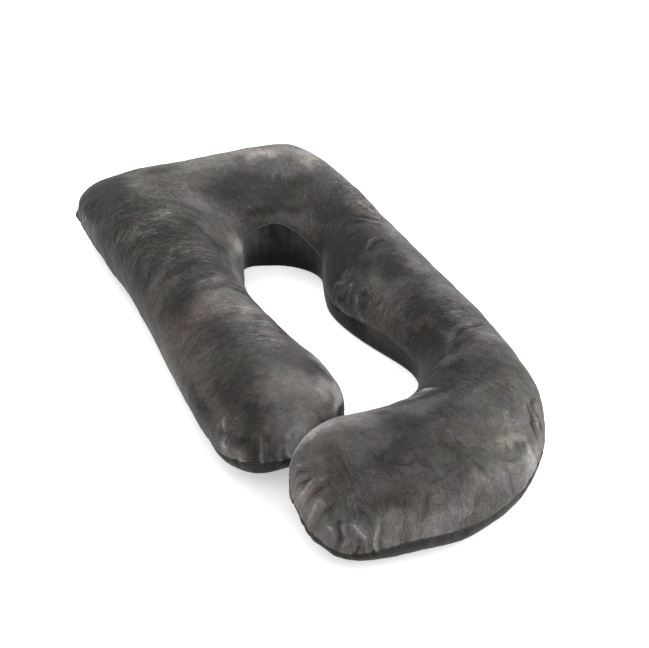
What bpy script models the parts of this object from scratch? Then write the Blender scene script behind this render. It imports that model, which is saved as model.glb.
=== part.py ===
"""A body pillow for side sleepers: one long filled cushion, bent to the outline of a G.

It is cut as two panels, an upper and a lower one, sewn together along a single seam that runs all round the
edge and filled through that seam. A straight limb and a longer limb leave a broad square head, and the long
limb curls round the foot until its tip lies against the end of the straight limb. Between them are a round
head hole, a narrow neck and a wide belly space.

Metres, +Z up. The pillow lies on its lower panel. The origin is on the floor under the middle of its box, +Y
points to the head and +X to the side of the long limb.
"""

import bpy
import numpy as np

# Driving dimensions. The rounded tips, as the distance from the tip over which the limb reaches its full size.
STRAIGHT_TIP = 0.140
CURLED_TIP = 0.150

# Squareness of the roundings: 2 is a circle, and larger is squarer.
STRAIGHT_TIP_PLAN = 2.15
CURLED_TIP_PLAN = 2.55
TIP_CROWN = 2.2
UPPER_CROWN = 2.1
LOWER_ROUND = 2.2

# How far the lower panel turns in under the pillow before it meets the floor, as a share of half its width.
OUTER_TUCK = 0.55
INNER_TUCK = 0.03

# The seam is drawn in by its stitches, between the two puffed panels.
SEAM_DRAW = 0.004

# Sections through the pillow, one a row, from the tip of the straight limb up to the head, down the long limb
# and round the foot to the curled tip. Each gives the ends of the section in plan, on the pillow's outer and
# inner edge, the height of its crown, and the height of the seam on both edges.
OUTER_X, OUTER_Y, INNER_X, INNER_Y, CROWN, OUTER_SEAM, INNER_SEAM = range(7)
SECTIONS = np.array([
    # outer_x outer_y inner_x inner_y  crown outer_seam inner_seam
    (-0.355, -0.390, -0.085, -0.400, 0.180, 0.085, 0.070),  # tip of the straight limb
    (-0.350, -0.260, -0.045, -0.265, 0.180, 0.100, 0.060),
    (-0.340, -0.020, -0.090, -0.010, 0.190, 0.095, 0.065),
    (-0.325, +0.220, -0.080, +0.180, 0.190, 0.090, 0.060),  # neck
    (-0.330, +0.460, -0.050, +0.250, 0.190, 0.085, 0.065),
    (-0.305, +0.685, -0.010, +0.335, 0.180, 0.090, 0.090),  # left corner of the head
    (-0.055, +0.700, +0.045, +0.330, 0.170, 0.095, 0.125),  # middle of the head
    (+0.265, +0.675, +0.100, +0.295, 0.160, 0.080, 0.115),  # right corner of the head
    (+0.335, +0.420, +0.140, +0.220, 0.155, 0.075, 0.065),
    (+0.345, +0.150, +0.100, +0.090, 0.155, 0.070, 0.045),  # neck
    (+0.350, -0.055, +0.135, -0.090, 0.150, 0.070, 0.060),
    (+0.340, -0.250, +0.165, -0.195, 0.160, 0.070, 0.050),
    (+0.285, -0.530, +0.125, -0.295, 0.170, 0.070, 0.045),  # corner of the foot
    (+0.080, -0.695, +0.045, -0.355, 0.175, 0.065, 0.060),
    (-0.120, -0.690, -0.105, -0.390, 0.190, 0.070, 0.120),
    (-0.280, -0.675, -0.260, -0.390, 0.200, 0.055, 0.105),  # tip of the curled limb
])

# The main creases in the upper panel, one a row: soft troughs between two points in plan. The spread is from
# the trough's middle to where it has faded to 0.6 of its depth.
CREASE_START, CREASE_END, SPREAD, DEPTH = slice(0, 2), slice(2, 4), 4, 5
CREASES = np.array([
    # start_x start_y   end_x   end_y  spread  depth
    (-0.345, -0.330, -0.300, -0.290, 0.012, 0.005),  # gathers at the tip of the straight limb
    (-0.325, -0.375, -0.280, -0.325, 0.012, 0.006),
    (-0.280, -0.400, -0.255, -0.345, 0.012, 0.006),
    (-0.230, -0.410, -0.225, -0.355, 0.012, 0.006),
    (-0.175, -0.410, -0.185, -0.360, 0.012, 0.005),
    (-0.270, -0.465, -0.215, -0.490, 0.012, 0.006),  # gathers at the tip of the curled limb
    (-0.275, -0.510, -0.205, -0.535, 0.012, 0.005),
    (-0.275, -0.555, -0.205, -0.575, 0.012, 0.006),
    (-0.270, -0.600, -0.215, -0.615, 0.012, 0.006),
    (-0.250, -0.650, -0.215, -0.625, 0.012, 0.007),
    (-0.200, -0.680, -0.190, -0.640, 0.012, 0.007),
    (-0.150, -0.695, -0.145, -0.645, 0.012, 0.004),
    (-0.070, -0.705, -0.050, -0.655, 0.015, 0.004),  # puckers along the foot's outer edge
    (+0.130, -0.700, +0.110, -0.640, 0.015, 0.004),
    (+0.225, -0.640, +0.185, -0.585, 0.015, 0.005),
    (+0.290, -0.560, +0.235, -0.520, 0.015, 0.005),
    (-0.340, +0.640, -0.280, +0.590, 0.014, 0.006),  # puckers below the left corner of the head
    (-0.340, +0.580, -0.285, +0.550, 0.014, 0.005),
    (-0.340, +0.510, -0.290, +0.480, 0.014, 0.004),
    (-0.300, +0.310, -0.225, +0.370, 0.016, 0.004),  # stretched folds round the head hole
    (-0.300, +0.115, -0.170, +0.260, 0.016, 0.004),
    (-0.205, +0.470, -0.095, +0.350, 0.016, 0.004),
    (-0.310, +0.030, -0.105, +0.065, 0.022, 0.006),  # fold across the neck of the straight limb
    (+0.330, +0.260, +0.235, +0.285, 0.014, 0.005),  # fan on the outer edge of the long limb
    (+0.330, +0.205, +0.225, +0.235, 0.014, 0.005),
    (+0.325, +0.150, +0.210, +0.160, 0.014, 0.004),
    (+0.185, -0.305, +0.300, -0.270, 0.014, 0.006),  # fold across the long limb above the foot
    (+0.120, -0.350, +0.185, -0.320, 0.014, 0.004),  # folds from the inner corner of the foot
    (+0.110, -0.375, +0.180, -0.365, 0.014, 0.004),
    (+0.055, -0.400, +0.110, -0.410, 0.014, 0.005),
    (+0.105, +0.080, +0.150, +0.040, 0.014, 0.005),  # puckers at the neck of the long limb
    (+0.110, +0.010, +0.155, -0.010, 0.014, 0.005),
    (-0.090, +0.050, -0.135, +0.035, 0.012, 0.004),  # pucker at the neck of the straight limb
])

# Fineness of the mesh: sections on each rounded tip and between the tips, and points across the upper panel
# and down each side of the lower one.
TIP_SECTIONS = 12
LIMB_SECTIONS = 104
UPPER_POINTS = 26
INNER_SIDE_POINTS = 5
OUTER_SIDE_POINTS = 8

# The cloth: linear colour, roughness, and the share of velvet sheen.
UPPER_VELVET = ("mottled_velvet", (0.070, 0.066, 0.063, 1.0), 0.75, 0.35)
LOWER_VELVET = ("plain_velvet", (0.034, 0.033, 0.032, 1.0), 0.80, 0.25)


def clear_scene():
    for obj in list(bpy.data.objects):
        bpy.data.objects.remove(obj, do_unlink=True)


def velvet(name, colour, roughness, sheen):
    """A soft cloth material."""
    material = bpy.data.materials.new(name)
    material.use_nodes = True
    shader = material.node_tree.nodes["Principled BSDF"]
    shader.inputs["Base Color"].default_value = colour
    shader.inputs["Roughness"].default_value = roughness
    shader.inputs["Metallic"].default_value = 0.0
    shader.inputs["Sheen Weight"].default_value = sheen
    return material


def smooth_curve(keys, rows, at):
    """The natural cubic spline through the rows, at the given places between the keys."""
    count = len(keys)
    step = np.diff(keys)[:, None]
    slope = np.diff(rows, axis=0) / step
    bend_matrix = np.eye(count)
    bend_rows = np.zeros_like(rows)
    for k in range(1, count - 1):
        bend_matrix[k, k - 1:k + 2] = step[k - 1, 0], 2 * (step[k - 1, 0] + step[k, 0]), step[k, 0]
        bend_rows[k] = 6 * (slope[k] - slope[k - 1])
    bend = np.linalg.solve(bend_matrix, bend_rows)
    k = np.clip(np.searchsorted(keys, at, side="right") - 1, 0, count - 2)
    after = (at - keys[k])[:, None]
    before = step[k] - after
    straight = (rows[k] * before + rows[k + 1] * after) / step[k]
    curved = (
        bend[k] * (before ** 3 / step[k] - before * step[k])
        + bend[k + 1] * (after ** 3 / step[k] - after * step[k])
    )
    return straight + curved / 6


def tip_rounding(distance, reach, squareness):
    """A superellipse that rises from 0 at the tip to 1 at the given reach from it."""
    inward = np.clip(1 - distance / reach, 0, 1)
    return (1 - inward ** squareness) ** (1 / squareness)


def section_places(length):
    """Distances from the straight limb's tip: closer together on the rounded tips, even between them."""
    turn = np.linspace(0, np.pi / 2, TIP_SECTIONS, endpoint=False)
    start = STRAIGHT_TIP * (1 - np.cos(turn))
    between = np.linspace(STRAIGHT_TIP, length - CURLED_TIP, LIMB_SECTIONS)
    end = length - CURLED_TIP * (1 - np.cos(turn[::-1]))
    return np.concatenate([start, between, end])


def loop_round_section():
    """The points round one section, from the outer seam over the crown and back under the pillow.

    across runs from -1 at the outer edge to 1 at the inner one. rise is 0 at the seam, 1 at the crown and -1
    on the floor. Both follow superellipses. The last column is 1 on the seams and 0 elsewhere.
    """
    over = np.linspace(0, np.pi, UPPER_POINTS + 1)
    down = np.linspace(0, np.pi / 2, INNER_SIDE_POINTS + 1)[1:]
    up = np.linspace(np.pi / 2, 0, OUTER_SIDE_POINTS + 1)[:-1]
    crown_power, side_power = 2 / UPPER_CROWN, 2 / LOWER_ROUND
    across = np.concatenate([
        -np.sign(np.cos(over)) * np.abs(np.cos(over)) ** crown_power,
        1 - INNER_TUCK + INNER_TUCK * np.abs(np.cos(down)) ** side_power,
        -1 + OUTER_TUCK - OUTER_TUCK * np.abs(np.cos(up)) ** side_power,
    ])
    rise = np.concatenate([
        np.abs(np.sin(over)) ** crown_power,
        -np.abs(np.sin(down)) ** side_power,
        -np.abs(np.sin(up)) ** side_power,
    ])
    seam = np.zeros(len(across))
    seam[[0, UPPER_POINTS]] = 1
    return across, rise, seam


def pillow_surface():
    """Points of the filled cover, as a grid: sections along the pillow by points round each section.

    In plan a point lies between the section's two edges, and at a tip the section narrows to nothing. Its
    height goes from the seam up to the crown or down to the floor, and flattens out at the tips.
    """
    middle = (SECTIONS[:, [OUTER_X, OUTER_Y]] + SECTIONS[:, [INNER_X, INNER_Y]]) / 2
    keys = np.concatenate([[0], np.cumsum(np.linalg.norm(np.diff(middle, axis=0), axis=1))])
    length = keys[-1]
    place = section_places(length)
    row = smooth_curve(keys, SECTIONS, place)
    outer, inner = row[:, [OUTER_X, OUTER_Y]], row[:, [INNER_X, INNER_Y]]
    centre, half = (outer + inner) / 2, (inner - outer) / 2

    narrowing = (
        tip_rounding(place, STRAIGHT_TIP, STRAIGHT_TIP_PLAN)
        * tip_rounding(length - place, CURLED_TIP, CURLED_TIP_PLAN)
    )[:, None]
    flattening = (
        tip_rounding(place, STRAIGHT_TIP, TIP_CROWN)
        * tip_rounding(length - place, CURLED_TIP, TIP_CROWN)
    )[:, None]

    across, rise, seam = loop_round_section()
    outer_seam, inner_seam, crown = row[:, [OUTER_SEAM]], row[:, [INNER_SEAM]], row[:, [CROWN]]
    level = (outer_seam + inner_seam) / 2 + (inner_seam - outer_seam) / 2 * across * narrowing
    height = level + rise * flattening * np.where(rise > 0, crown - level, level)

    drawn = np.sign(across) * seam * SEAM_DRAW / np.linalg.norm(half, axis=1)[:, None]
    plan = centre[:, None] + half[:, None] * ((across - drawn) * narrowing)[..., None]
    return np.concatenate([plan, height[..., None]], axis=2)


def outward(grid):
    """Unit normals of the surface, pointing out of the filling."""
    along = np.gradient(grid, axis=0)
    wrapped = np.concatenate([grid[:, -1:], grid, grid[:, :1]], axis=1)
    around = (wrapped[:, 2:] - wrapped[:, :-2]) / 2
    normal = np.cross(around, along)
    return normal / np.maximum(np.linalg.norm(normal, axis=2, keepdims=True), 1e-9)


def crease_depth(plan):
    """How far the creases press the upper panel in: for each one a bell across its line, faded at its ends."""
    depth = np.zeros(plan.shape[:2])
    for crease in CREASES:
        start, line = crease[CREASE_START], crease[CREASE_END] - crease[CREASE_START]
        share = np.clip((plan - start) @ line / (line @ line), 0, 1)
        aside = np.linalg.norm(plan - start - share[..., None] * line, axis=2)
        fade = np.sin(np.pi * np.clip(share, 0.15, 0.85)) ** 0.5
        depth += crease[DEPTH] * fade * np.exp(-0.5 * (aside / crease[SPREAD]) ** 2)
    return depth


def press_creases(grid):
    """The surface with the creases pressed in, on the upper panel only and fading out towards its seam."""
    _, rise, _ = loop_round_section()
    upper = np.clip(rise, 0, 1) ** 0.5
    depth = crease_depth(grid[..., :2]) * upper
    return grid - outward(grid) * depth[..., None]


def centred(grid):
    """The surface moved so that the middle of its box is over the origin and its underside is on the floor."""
    points = grid.reshape(-1, 3)
    low, high = points.min(axis=0), points.max(axis=0)
    return grid - np.array([(low[0] + high[0]) / 2, (low[1] + high[1]) / 2, low[2]])


def pillow_mesh(grid):
    """One closed skin: a band of faces between neighbouring sections, and a fan that closes each tip."""
    tips = grid[[0, -1]].mean(axis=1)
    rings = grid[1:-1]
    ring_count, around = rings.shape[:2]
    points = np.concatenate([rings.reshape(-1, 3), tips])
    first_tip, last_tip = ring_count * around, ring_count * around + 1
    last_ring = (ring_count - 1) * around

    faces, on_lower = [], []
    for side in range(around):
        beside = (side + 1) % around
        lower = side >= UPPER_POINTS
        for start in range(0, last_ring, around):
            faces.append((start + side, start + beside, start + around + beside, start + around + side))
            on_lower.append(lower)
        faces.append((first_tip, beside, side))
        on_lower.append(lower)
        faces.append((last_tip, last_ring + side, last_ring + beside))
        on_lower.append(lower)

    mesh = bpy.data.meshes.new("pillow")
    mesh.from_pydata(points.tolist(), [], faces)
    mesh.polygons.foreach_set("material_index", np.array(on_lower, dtype=np.int32))
    mesh.shade_smooth()
    mesh.update()
    return mesh


def make_pillow():
    grid = centred(press_creases(centred(pillow_surface())))
    pillow = bpy.data.objects.new("pillow", pillow_mesh(grid))
    pillow.data.materials.append(velvet(*UPPER_VELVET))
    pillow.data.materials.append(velvet(*LOWER_VELVET))
    bpy.context.scene.collection.objects.link(pillow)
    return pillow


clear_scene()
make_pillow()
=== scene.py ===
"""A body pillow of crushed grey velvet: two panels, one seam all round, filled with fibre.

It is put together here as it is made: the shape it is cut and filled to, the cloth cover that the filling
pushes out, the folds, gathers and puckers that the cover keeps, the upper panel, the lower panel, the seam
and the room that the pillow lies in. Metres, +Z up, with the tables of rows in millimetres.
"""

import bpy
import numpy as np
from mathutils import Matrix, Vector


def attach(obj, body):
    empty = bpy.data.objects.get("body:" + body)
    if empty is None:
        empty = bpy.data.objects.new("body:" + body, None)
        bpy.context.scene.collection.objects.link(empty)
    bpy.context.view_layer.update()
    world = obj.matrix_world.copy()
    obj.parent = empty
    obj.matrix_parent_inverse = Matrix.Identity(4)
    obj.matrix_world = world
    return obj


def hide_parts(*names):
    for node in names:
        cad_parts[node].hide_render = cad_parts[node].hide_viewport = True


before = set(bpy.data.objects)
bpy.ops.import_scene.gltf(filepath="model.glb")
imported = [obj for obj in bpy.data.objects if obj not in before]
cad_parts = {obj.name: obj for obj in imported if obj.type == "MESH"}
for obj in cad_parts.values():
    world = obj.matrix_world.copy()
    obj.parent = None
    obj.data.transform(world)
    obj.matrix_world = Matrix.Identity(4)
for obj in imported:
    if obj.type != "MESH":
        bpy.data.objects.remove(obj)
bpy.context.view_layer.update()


# --- The cut and filled shape -------------------------------------------------------------------------------
# One long bag bent to the outline of a G and stuffed until its sides are round. Each row is a section across
# it, from the tip of the straight limb, round the head and down the long limb, to the tip of the curl.

MM = 0.001
OUTER_X, OUTER_Y, INNER_X, INNER_Y, CROWN, OUTER_GIRTH, INNER_GIRTH, SEAM_DROP = range(8)
SECTIONS = np.array([
    # edges: outer x, y, inner x, y; heights: crown, outer girth, inner girth; the seam's drop in degrees
    (-355, -390,  -85, -400, 180,  85,  70,  6),  # tip of the straight limb
    (-350, -260,  -45, -265, 180, 100,  60, 25),
    (-340,  -20,  -90,  -10, 190,  95,  65, 27),
    (-325,  220,  -80,  180, 190,  90,  60, 28),  # neck
    (-330,  460,  -50,  250, 190,  85,  65, 24),
    (-305,  685,  -10,  335, 180,  90,  90,  7),  # left corner of the head
    ( -55,  700,   45,  330, 170,  95, 125,  5),  # middle of the head
    ( 265,  675,  100,  295, 160,  80, 115,  3),  # right corner of the head
    ( 335,  420,  140,  220, 155,  75,  65,  0),
    ( 345,  150,  100,   90, 155,  70,  45,  0),  # neck
    ( 350,  -55,  135,  -90, 150,  70,  60,  0),
    ( 340, -250,  165, -195, 160,  70,  50,  0),
    ( 285, -530,  125, -295, 170,  70,  45,  0),  # corner of the foot
    (  80, -695,   45, -355, 175,  65,  60,  0),
    (-120, -690, -105, -390, 190,  70, 120,  0),
    (-280, -675, -260, -390, 200,  55, 105, 12),  # tip of the curled limb
]) * ([MM] * 7 + [1])
STRAIGHT_TIP, CURLED_TIP = 0.140, 0.150
STRAIGHT_TIP_PLAN, CURLED_TIP_PLAN = 2.15, 2.55
TIP_CROWN, UPPER_CROWN, LOWER_ROUND = 2.2, 2.1, 2.2
OUTER_TUCK, INNER_TUCK = 0.55, 0.03


def smooth_curve(keys, rows, at):
    """The natural cubic spline through the rows, at the given places between the keys."""
    count = len(keys)
    step = np.diff(keys)[:, None]
    slope = np.diff(rows, axis=0) / step
    bend_matrix = np.eye(count)
    bend_rows = np.zeros_like(rows)
    for k in range(1, count - 1):
        bend_matrix[k, k - 1:k + 2] = step[k - 1, 0], 2 * (step[k - 1, 0] + step[k, 0]), step[k, 0]
        bend_rows[k] = 6 * (slope[k] - slope[k - 1])
    bend = np.linalg.solve(bend_matrix, bend_rows)
    k = np.clip(np.searchsorted(keys, at, side="right") - 1, 0, count - 2)
    after = (at - keys[k])[:, None]
    before = step[k] - after
    straight = (rows[k] * before + rows[k + 1] * after) / step[k]
    curved = (
        bend[k] * (before ** 3 / step[k] - before * step[k])
        + bend[k + 1] * (after ** 3 / step[k] - after * step[k])
    )
    return straight + curved / 6


def tip_rounding(distance, reach, squareness):
    """A superellipse that rises from 0 at the tip to 1 at the given reach from it."""
    inward = np.clip(1 - distance / reach, 0, 1)
    return (1 - inward ** squareness) ** (1 / squareness)


def towards_tips(place, length, straight_squareness, curled_squareness):
    """A share that is 0 at both tips and 1 between the ends of their rounding."""
    straight = tip_rounding(place, STRAIGHT_TIP, straight_squareness)
    return straight * tip_rounding(length - place, CURLED_TIP, curled_squareness)


def section_places(length, on_tip, on_limb):
    """Distances from the straight limb's tip: closer together on the rounded tips, even between them."""
    turn = np.linspace(0, np.pi / 2, on_tip, endpoint=False)
    start = STRAIGHT_TIP * (1 - np.cos(turn))
    between = np.linspace(STRAIGHT_TIP, length - CURLED_TIP, on_limb)
    end = length - CURLED_TIP * (1 - np.cos(turn[::-1]))
    return np.concatenate([start, between, end])


class Loop:
    """The points round a section: over the crown, down the inner side, back underneath, up the outer side.

    turn counts these four stretches: 0 at the outer seam, 1 at the inner seam, 4 at the outer seam again.
    """

    def __init__(self, over, inner, under, outer):
        self.over = over
        self.turn = np.concatenate([
            np.linspace(0, 1, over + 1),
            np.linspace(1, 2, inner + 1)[1:],
            np.linspace(2, 3, under + 2)[1:-1],
            np.linspace(3, 4, outer + 1)[:-1],
        ])


def section_outline(turn, drop):
    """Where the points of a section lie across it and how high, on superellipses.

    across goes from -1 at the outer edge to 1 at the inner one. rise is 0 at the girth, 1 at the crown and -1
    on the floor. The drop is the angle by which the outer seam runs below the girth.
    """
    over = turn * (np.pi + drop) - drop
    down = (turn + 1) * np.pi / 2
    up = (turn - 3) * (np.pi / 2 - drop) - np.pi / 2
    angle = np.select([turn <= 1, turn <= 2, turn >= 3], [over, down, up], 0)
    cosine, sine = np.abs(np.cos(angle)), np.abs(np.sin(angle))
    crown_power, side_power = 2 / UPPER_CROWN, 2 / LOWER_ROUND
    beneath = (turn > 2) & (turn < 3)
    across = np.select(
        [beneath, angle < 0, angle > np.pi],
        [
            1 - INNER_TUCK + (turn - 2) * (OUTER_TUCK + INNER_TUCK - 2),
            -1 + OUTER_TUCK - OUTER_TUCK * cosine ** side_power,
            1 - INNER_TUCK + INNER_TUCK * cosine ** side_power,
        ],
        -np.sign(np.cos(angle)) * cosine ** crown_power,
    )
    lower = (angle < 0) | (angle > np.pi)
    rise = np.select([beneath, lower], [-1.0, -sine ** side_power], sine ** crown_power)
    return across, rise


def filled_shape(on_tip, on_limb, loop):
    """The pillow's surface as a grid of sections by points round each, the sections' places, and the rise.

    In plan a point lies between the section's two edges, and at a tip the section narrows to nothing. Its
    height goes from the seam up to the crown or down to the floor, and flattens out at the tips.
    """
    middle = (SECTIONS[:, [OUTER_X, OUTER_Y]] + SECTIONS[:, [INNER_X, INNER_Y]]) / 2
    keys = np.concatenate([[0], np.cumsum(np.linalg.norm(np.diff(middle, axis=0), axis=1))])
    length = keys[-1]
    place = section_places(length, on_tip, on_limb)
    row = smooth_curve(keys, SECTIONS, place)
    outer, inner = row[:, [OUTER_X, OUTER_Y]], row[:, [INNER_X, INNER_Y]]
    centre, half = (outer + inner) / 2, (inner - outer) / 2
    narrowing = towards_tips(place, length, STRAIGHT_TIP_PLAN, CURLED_TIP_PLAN)[:, None]
    flattening = towards_tips(place, length, TIP_CROWN, TIP_CROWN)[:, None]
    across, rise = section_outline(loop.turn, np.radians(np.maximum(row[:, [SEAM_DROP]], 0)))
    outer_girth, inner_girth, crown = row[:, [OUTER_GIRTH]], row[:, [INNER_GIRTH]], row[:, [CROWN]]
    level = (outer_girth + inner_girth) / 2 + (inner_girth - outer_girth) / 2 * across * narrowing
    height = level + rise * flattening * np.where(rise > 0, crown - level, level)
    plan = centre[:, None] + half[:, None] * (across * narrowing)[..., None]
    grid = np.concatenate([plan, height[..., None]], axis=2)
    low, high = grid.reshape(-1, 3).min(axis=0), grid.reshape(-1, 3).max(axis=0)
    grid[..., :2] -= (low + high)[:2] / 2
    return grid, place, rise


def outward(grid):
    """Unit normals of the surface, pointing out of the filling, and straight ahead at the two tips."""
    along = np.gradient(grid, axis=0)
    wrapped = np.concatenate([grid[:, -1:], grid, grid[:, :1]], axis=1)
    around = (wrapped[:, 2:] - wrapped[:, :-2]) / 2
    normal = np.cross(around, along)
    normal[0] = grid[0] - (grid[2].min(axis=0) + grid[2].max(axis=0)) / 2
    normal[-1] = grid[-1] - (grid[-3].min(axis=0) + grid[-3].max(axis=0)) / 2
    return normal / np.maximum(np.linalg.norm(normal, axis=2, keepdims=True), 1e-9)


def on_points(values, columns):
    """Values of the grid in the order of a skin's points: section by section, and the two tips last."""
    kept = values[:, np.unique(columns)]
    rings = kept[1:-1].reshape(-1, *values.shape[2:])
    return np.concatenate([rings, kept[[0, -1]].mean(axis=1)])


def in_scene(name, data):
    """A new object of the given data, in the scene."""
    thing = bpy.data.objects.new(name, data)
    bpy.context.scene.collection.objects.link(thing)
    return thing


def smooth_piece(name, points, faces):
    """A smoothly shaded piece with the given points and faces."""
    mesh = bpy.data.meshes.new(name)
    mesh.from_pydata(points.tolist(), [], faces)
    mesh.shade_smooth()
    mesh.update()
    return in_scene(name, mesh)


def skin(name, grid, columns):
    """Faces between neighbouring sections over the given columns of the grid, and a fan at each tip.

    A column that is named twice is one column, so a skin may run all round.
    """
    used, order = np.unique(columns, return_inverse=True)
    sections = len(grid) - 2
    index = np.arange(sections * len(used)).reshape(sections, len(used))[:, order]
    quads = np.stack([index[:-1, :-1], index[:-1, 1:], index[1:, 1:], index[1:, :-1]], axis=-1)
    first_tip, last_tip = index.max() + 1, index.max() + 2
    first_fan = np.stack([np.full(len(columns) - 1, first_tip), index[0, 1:], index[0, :-1]], axis=-1)
    last_fan = np.stack([np.full(len(columns) - 1, last_tip), index[-1, :-1], index[-1, 1:]], axis=-1)
    faces = quads.reshape(-1, 4).tolist() + first_fan.tolist() + last_fan.tolist()
    return smooth_piece(name, on_points(grid, columns), faces)


fine = Loop(over=124, inner=20, under=8, outer=28)
shape, place, rise = filled_shape(on_tip=50, on_limb=680, loop=fine)
facing = outward(shape)


# --- The cover and its filling ------------------------------------------------------------------------------
# The velvet cover is a little larger than the filling inside it. A coarse copy of the bag is puffed up as
# cloth, with spare length everywhere and most of it by the seam, and settles into the wrinkles that the
# filling leaves. Its seam and its underside are held, and its broad swelling is taken out again.

SPARE_CLOTH, SPARE_AT_SEAM, SEAM_ZONE = 0.025, 0.10, 0.050
# the cover is held fast below this rise, and the filling holds the rest of it a little
HELD_UNDERSIDE, FILLING_HOLD = -0.97, 0.08
WEIGHT_STEPS = 20
CLOTH_STRETCH, CLOTH_SHEAR, CLOTH_BEND = 15, 5, 0.1
CLOTH_DAMPING, CLOTH_MASS, CLOTH_STEPS = 5, 0.3, 5
FILLING_PRESSURE = 2.0
SETTLING_FRAMES = 20
SWELL_ALONG, SWELL_AROUND = 5.5, 5.5
WRINKLE_LIMIT, WRINKLE_SHARE = 0.008, 0.13


def bell_average(values, along, around):
    """The bell-weighted mean of the values near each one, over the sections and round the loop."""
    sections, columns = values.shape
    apart = np.subtract.outer(np.arange(sections), np.arange(sections))
    section_weights = np.exp(-0.5 * (apart / along) ** 2)
    apart = np.abs(np.subtract.outer(np.arange(columns), np.arange(columns)))
    column_weights = np.exp(-0.5 * (np.minimum(apart, columns - apart) / around) ** 2)
    section_weights /= section_weights.sum(axis=1, keepdims=True)
    column_weights /= column_weights.sum(axis=1, keepdims=True)
    return section_weights @ values @ column_weights.T


def share_out(piece, name, weights):
    """A vertex group with the given weights, rounded to even steps."""
    group = piece.vertex_groups.new(name=name)
    steps = np.rint(weights * WEIGHT_STEPS).astype(int)
    for step in range(1, WEIGHT_STEPS + 1):
        group.add(np.flatnonzero(steps == step).tolist(), step / WEIGHT_STEPS, "REPLACE")


def seam_distance(grid, loop):
    """Distance of each point from the nearer seam, measured round its own section."""
    around = np.linalg.norm(np.diff(grid, axis=1, append=grid[:, :1]), axis=2)
    travelled = np.cumsum(around, axis=1) - around
    whole = around.sum(axis=1, keepdims=True)
    inner_seam = travelled[:, [loop.over]]
    return np.minimum(np.minimum(travelled, whole - travelled), np.abs(travelled - inner_seam))


def settled_wrinkles(rough, rough_shape, rough_rise):
    """How far the settled cloth stands off the bag's own shape, along its normals."""
    columns = np.append(np.arange(len(rough.turn)), 0)
    cover = skin("cover", rough_shape, columns)
    held = (rough_rise < HELD_UNDERSIDE) | (rough.turn == 0) | (rough.turn == 1)
    hold = np.where(held, 1.0, FILLING_HOLD)
    hold[[0, -1]] = 1
    share_out(cover, "hold", on_points(hold, columns))
    spare = np.exp(-(seam_distance(rough_shape, rough) / SEAM_ZONE) ** 2)
    share_out(cover, "spare", on_points(spare, columns))
    cloth = cover.modifiers.new("cloth", "CLOTH")
    cloth.point_cache.frame_start, cloth.point_cache.frame_end = 1, SETTLING_FRAMES + 2
    cloth.collision_settings.use_collision = False
    velvet = cloth.settings
    velvet.quality = CLOTH_STEPS
    velvet.mass = CLOTH_MASS
    velvet.tension_stiffness = velvet.compression_stiffness = CLOTH_STRETCH
    velvet.shear_stiffness = CLOTH_SHEAR
    velvet.bending_stiffness = CLOTH_BEND
    velvet.tension_damping = velvet.compression_damping = velvet.shear_damping = CLOTH_DAMPING
    velvet.use_pressure = True
    velvet.uniform_pressure_force = FILLING_PRESSURE
    velvet.effector_weights.gravity = 0
    velvet.vertex_group_mass = "hold"
    velvet.vertex_group_shrink = "spare"
    velvet.shrink_min, velvet.shrink_max = -SPARE_CLOTH, -SPARE_AT_SEAM
    for step in range(1, SETTLING_FRAMES + 1):
        bpy.context.scene.frame_set(step)
    settled = cover.evaluated_get(bpy.context.evaluated_depsgraph_get()).data
    points = np.empty(len(settled.vertices) * 3, dtype=np.float32)
    settled.vertices.foreach_get("co", points)
    bpy.context.scene.frame_set(1)
    bpy.data.objects.remove(cover)
    stand_off = np.zeros(rough_shape.shape[:2])
    moved = points.reshape(-1, 3)[:-2].reshape(rough_shape[1:-1].shape) - rough_shape[1:-1]
    stand_off[1:-1] = (moved * outward(rough_shape)[1:-1]).sum(axis=2)
    return stand_off


def wrinkles():
    """The settled wrinkles without the broad swelling, limited and spread smoothly over the fine grid."""
    rough = Loop(over=56, inner=10, under=10, outer=14)
    rough_shape, rough_place, rough_rise = filled_shape(on_tip=14, on_limb=300, loop=rough)
    stand_off = settled_wrinkles(rough, rough_shape, rough_rise)
    small = stand_off - bell_average(stand_off, SWELL_ALONG, SWELL_AROUND)
    small = WRINKLE_LIMIT * np.tanh(small / WRINKLE_LIMIT)
    along = smooth_curve(rough_place, small, place)
    closed = np.concatenate([along, along[:, :1]], axis=1)
    return smooth_curve(np.append(rough.turn, 4), closed.T, fine.turn).T


settled = WRINKLE_SHARE * wrinkles()


# --- Folds, gathers and puckers -----------------------------------------------------------------------------
# The cover keeps the marks of how it was cut and packed: fibre lies a little uneven under it, creases run
# where it is stretched round a bend, and the seam draws its spare length into small puckers, which crowd
# together as gathers wherever the cloth turns a corner.

LOFT_ROWS = (
    # size, height and seed of each uneven layer of fibre
    (0.170, 0.0008, 11),
    (0.090, 0.0005, 12),
    (0.045, 0.0002, 13),
)
COVER_THICKNESS = 0.0016
# the cover stands off the filling in full from this rise above the floor
FREE_OF_FLOOR = 0.15
GROOVE_DEPTH, GROOVE_WIDTH = 0.0018, 0.0040
FULLER = np.array([
    # where the filling is packed fuller, or looser where the height is below 0: x, y, reach, height
    (-170, -400,  80,  2.5),
    (-345, -270,  40, -2.5),
    ( -70, -165,  50, -1.8),
    (-105,  -30,  70,  4.5),
    (-330,  320,  70,  2.5),
    (-345,  530,  60, -2.5),
    (-120,  700, 100,  5.5),
    (   0,  700,  50,  2.2),
    ( 110,  700,  45, -3.5),
    ( 255,  650,  45,  3.8),
    ( 330, -220, 100,    3),
    ( 315, -440,  80,  3.5),
    (  70, -385,  55, -3.5),
    (  80, -690,  50, -2.5),
    (-110, -690,  40,    2),
    (-270, -500,  80,  3.8),
    ( -50, -400,  50, -2.2),
]) * MM

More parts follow.
